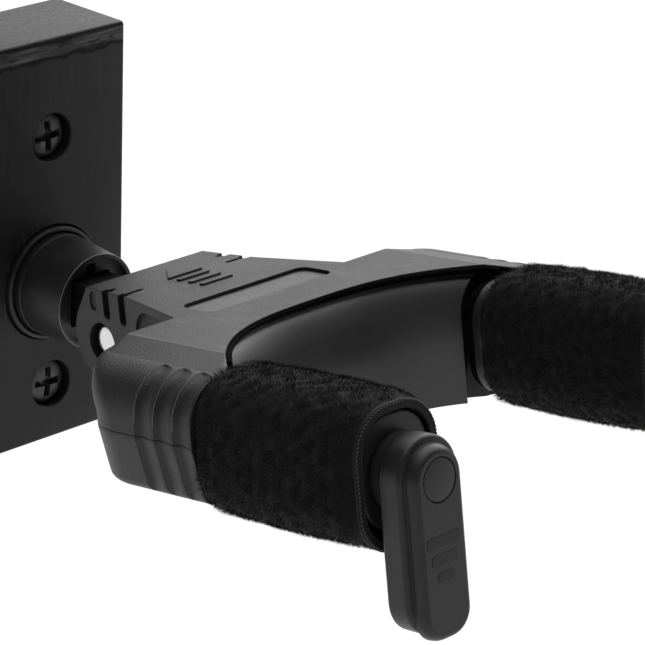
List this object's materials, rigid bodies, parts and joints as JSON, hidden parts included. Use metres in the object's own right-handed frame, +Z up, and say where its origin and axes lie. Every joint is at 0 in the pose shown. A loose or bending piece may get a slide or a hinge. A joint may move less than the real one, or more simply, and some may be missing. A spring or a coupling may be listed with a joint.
{
  "type": "wall guitar hanger",
  "caption": "Wall hanger for a stringed instrument: wooden plate, swivel collar and a tilting padded yoke whose weight-driven levers lock across the neck opening.",
  "frame": {"origin": "on the plate's back face, on the collar's swivel axis", "axes": "+Y into the wall, -Y out into the room, +Z up, +X to the right seen from the room"},
  "size_m": [0.095, 0.1606, 0.0827],
  "materials": {
    "stained_wood": "black stain, satin",
    "black_plastic": "fine moulded texture",
    "black_rubber": "smooth",
    "black_plush": "short pile",
    "black_screw": "black oxide",
    "bright_steel": "bright",
    "painted_steel": "black",
    "acetal": "natural"
  },
  "bodies": {
    "wall_mount": {"wall_plate": "stained_wood", "upper_wall_screw": "black_screw", "lower_wall_screw": "black_screw", "base_ring": "black_plastic"},
    "swivel": {"friction_washer": "acetal", "swivel_collar": "black_plastic", "tongue_screw": "bright_steel", "pivot_tongue": "painted_steel", "pivot_bush": "acetal", "rack_bar": "painted_steel", "rack_screw": "bright_steel"},
    "yoke": {"yoke_upper_shell": "black_plastic", "label_plate": "black_plastic", "yoke_lower_shell": "black_plastic", "left_rear_shell_screw": "black_screw", "right_rear_shell_screw": "black_screw", "left_front_shell_screw": "black_screw", "right_front_shell_screw": "black_screw", "neck_liner": "black_rubber", "pivot_pin": "bright_steel", "pivot_clip": "bright_steel", "return_spring": "bright_steel", "left_arm_tube": "black_plastic", "right_arm_tube": "black_plastic", "left_arm_trim": "black_plastic", "right_arm_trim": "black_plastic", "left_rear_bush": "acetal", "right_rear_bush": "acetal", "left_front_bush": "acetal", "right_front_bush": "acetal", "left_sleeve": "black_plush", "right_sleeve": "black_plush"},
    "left_lock": {"left_lock_shaft": "painted_steel", "left_pinion": "acetal", "left_lever": "black_plastic", "left_lever_screw": "bright_steel", "left_lever_cap": "black_plastic"},
    "right_lock": {"right_lock_shaft": "painted_steel", "right_pinion": "acetal", "right_lever": "black_plastic", "right_lever_screw": "bright_steel", "right_lever_cap": "black_plastic"}
  },
  "joints": [
    {"name": "collar_swivel", "type": "hinge", "parent": "wall_mount", "child": "swivel", "pos_m": [0, -0.02, 0], "axis": [0, -1, 0], "range_deg": [-30, 30]},
    {"name": "yoke_tilt", "type": "hinge", "parent": "swivel", "child": "yoke", "pos_m": [0, -0.0521, 0.00115], "axis": [1, 0, 0], "range_deg": [0, 9.6], "stiffness_Nm_per_rad": 0.6, "springref_deg": -20.05},
    {"name": "left_lever_lock", "type": "hinge", "parent": "yoke", "child": "left_lock", "pos_m": [-0.0355, -0.15112, 0.01536], "axis": [0, -0.986, 0.1668], "range_deg": [0, 85]},
    {"name": "right_lever_lock", "type": "hinge", "parent": "yoke", "child": "right_lock", "pos_m": [0.0355, -0.15112, 0.01536], "axis": [0, 0.986, -0.1668], "range_deg": [0, 85]}
  ],
  "couplings": [
    {"joint": "left_lever_lock", "follows": "yoke_tilt", "ratio": 8.854},
    {"joint": "right_lever_lock", "follows": "yoke_tilt", "ratio": 8.854}
  ]
}
